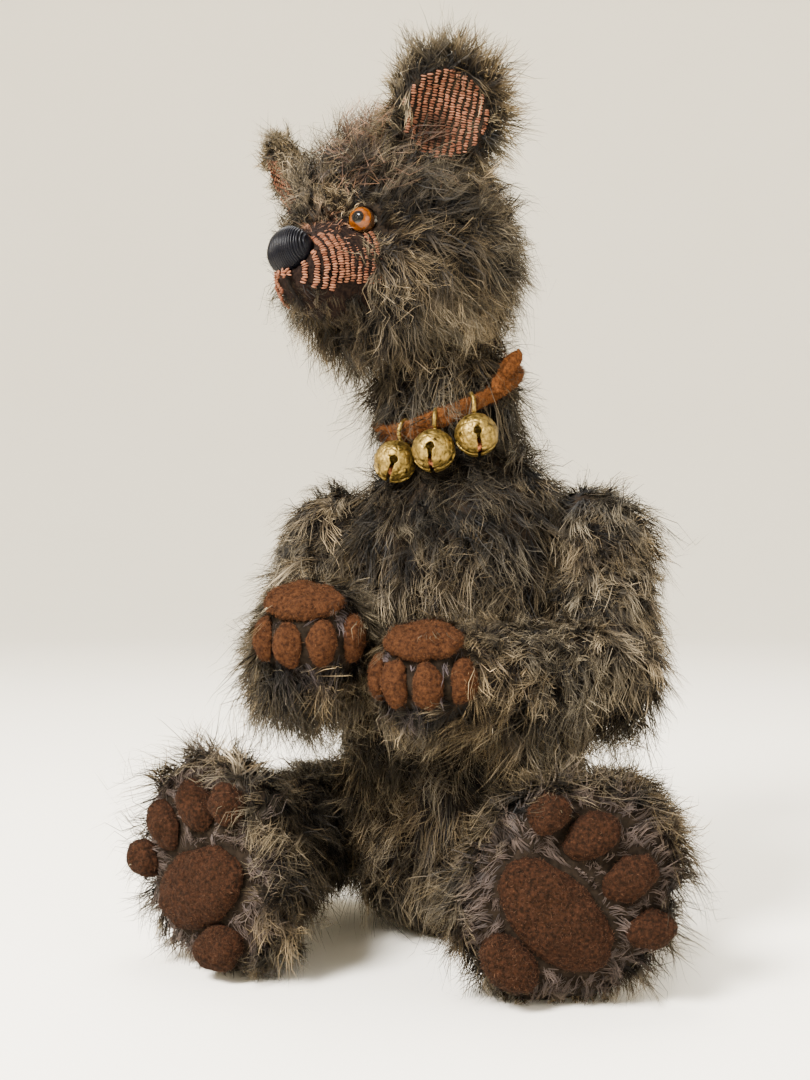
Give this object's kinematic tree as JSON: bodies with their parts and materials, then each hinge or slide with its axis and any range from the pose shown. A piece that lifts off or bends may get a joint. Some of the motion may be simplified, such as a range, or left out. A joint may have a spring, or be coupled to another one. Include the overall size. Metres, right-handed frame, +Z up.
{
  "type": "jointed teddy bear",
  "caption": "Mohair teddy bear with bent arms, disc-jointed limbs, a neck that turns at both ends, stuffed suede paw pads and loose bells on a collar.",
  "frame": {"origin": "middle of the flat seat under the body", "axes": "+Z up, -Y the way the bear faces, +X to its left"},
  "size_m": [0.0985, 0.0867, 0.1637],
  "materials": {
    "mohair": "tousled long pile",
    "stuffing": "loose fibre",
    "hardboard": "pressed fibre",
    "steel": "plain",
    "steel_shot": "shot in a cloth pouch",
    "suede": "napped",
    "lace": "napped",
    "brass": "crackled",
    "woven_cloth": "coarse weave",
    "black_thread": "satin",
    "dark_thread": "matt",
    "amber_glass": "glossy"
  },
  "bodies": {
    "torso": {"body_skin": "mohair", "body_stuffing": "stuffing", "shot_pouch": "steel_shot", "body_arm_discs": "hardboard", "body_leg_discs": "hardboard", "body_neck_disc": "hardboard", "body_washers": "steel", "closing_stitches": "dark_thread"},
    "neck": {"neck_skin": "mohair", "neck_stuffing": "stuffing", "neck_discs": "hardboard", "neck_bolts": "steel", "neck_locknuts": "steel", "collar_lace": "lace"},
    "head": {"head_skin": "mohair", "head_stuffing": "stuffing", "head_disc": "hardboard", "head_washer": "steel", "muzzle_panel": "woven_cloth", "nose": "black_thread", "mouth_stitches": "black_thread", "glass_eyes": "amber_glass", "right_ear": "mohair", "left_ear": "mohair"},
    "right_bell": {"right_bell": "brass"},
    "middle_bell": {"middle_bell": "brass"},
    "left_bell": {"left_bell": "brass"},
    "right_bell_pellet": {"right_bell_pellet": "steel"},
    "middle_bell_pellet": {"middle_bell_pellet": "steel"},
    "left_bell_pellet": {"left_bell_pellet": "steel"},
    "right_arm": {"right_arm_skin": "mohair", "right_arm_stuffing": "stuffing", "right_arm_disc": "hardboard", "right_arm_bolt": "steel", "right_arm_locknut": "steel", "right_palm_pad": "suede", "right_finger_pads": "suede"},
    "left_arm": {"left_arm_skin": "mohair", "left_arm_stuffing": "stuffing", "left_arm_disc": "hardboard", "left_arm_bolt": "steel", "left_arm_locknut": "steel", "left_palm_pad": "suede", "left_finger_pads": "suede"},
    "right_leg": {"right_leg_skin": "mohair", "right_leg_stuffing": "stuffing", "right_leg_disc": "hardboard", "right_leg_bolt": "steel", "right_leg_locknut": "steel", "right_sole_pad": "suede", "right_heel_pad": "suede", "right_toe_pads": "suede"},
    "left_leg": {"left_leg_skin": "mohair", "left_leg_stuffing": "stuffing", "left_leg_disc": "hardboard", "left_leg_bolt": "steel", "left_leg_locknut": "steel", "left_sole_pad": "suede", "left_heel_pad": "suede", "left_toe_pads": "suede"}
  },
  "joints": [
    {"name": "neck_turn", "type": "hinge", "parent": "torso", "child": "neck", "pos_m": [0, -0.00831, 0.09494], "axis": [0, -0.0872, 0.9962], "continuous": true},
    {"name": "head_turn", "type": "hinge", "parent": "neck", "child": "head", "pos_m": [-0.00517, -0.00994, 0.11309], "axis": [-0.1547, 0.0788, 0.9848], "continuous": true},
    {"name": "right_shoulder", "type": "hinge", "parent": "torso", "child": "right_arm", "pos_m": [-0.01915, -0.0055, 0.076], "axis": [-1, 0, 0], "range_deg": [-15, 50]},
    {"name": "left_shoulder", "type": "hinge", "parent": "torso", "child": "left_arm", "pos_m": [0.01915, -0.0055, 0.076], "axis": [-1, 0, 0], "range_deg": [-2, 55]},
    {"name": "right_hip", "type": "hinge", "parent": "torso", "child": "right_leg", "pos_m": [-0.02065, 0.002, 0.0192], "axis": [-1, 0, 0], "range_deg": [-220, 13]},
    {"name": "left_hip", "type": "hinge", "parent": "torso", "child": "left_leg", "pos_m": [0.02065, 0.002, 0.0192], "axis": [-1, 0, 0], "range_deg": [-220, 13]},
    {"name": "right_bell_swing", "type": "hinge", "parent": "neck", "child": "right_bell", "pos_m": [-0.0071, -0.02102, 0.09619], "axis": [-0.9063, 0.421, 0.0368], "range_deg": [0, 70]},
    {"name": "right_pellet_roll", "type": "hinge", "parent": "right_bell", "child": "right_bell_pellet", "pos_m": [-0.00862, -0.02381, 0.09058], "axis": [-0.9063, 0.421, 0.0368], "range_deg": [-40, 40]},
    {"name": "middle_bell_swing", "type": "hinge", "parent": "neck", "child": "middle_bell", "pos_m": [-0.00078, -0.02279, 0.09803], "axis": [-0.9994, -0.0348, -0.003], "range_deg": [0, 70]},
    {"name": "middle_pellet_roll", "type": "hinge", "parent": "middle_bell", "child": "middle_bell_pellet", "pos_m": [-0.00065, -0.02592, 0.09238], "axis": [-0.9994, -0.0348, -0.003], "range_deg": [-40, 40]},
    {"name": "left_bell_swing", "type": "hinge", "parent": "neck", "child": "left_bell", "pos_m": [0.0053, -0.02156, 0.10086], "axis": [-0.8746, -0.483, -0.0423], "range_deg": [0, 70]},
    {"name": "left_pellet_roll", "type": "hinge", "parent": "left_bell", "child": "left_bell_pellet", "pos_m": [0.00704, -0.02424, 0.09526], "axis": [-0.8746, -0.483, -0.0423], "range_deg": [-40, 40]}
  ]
}
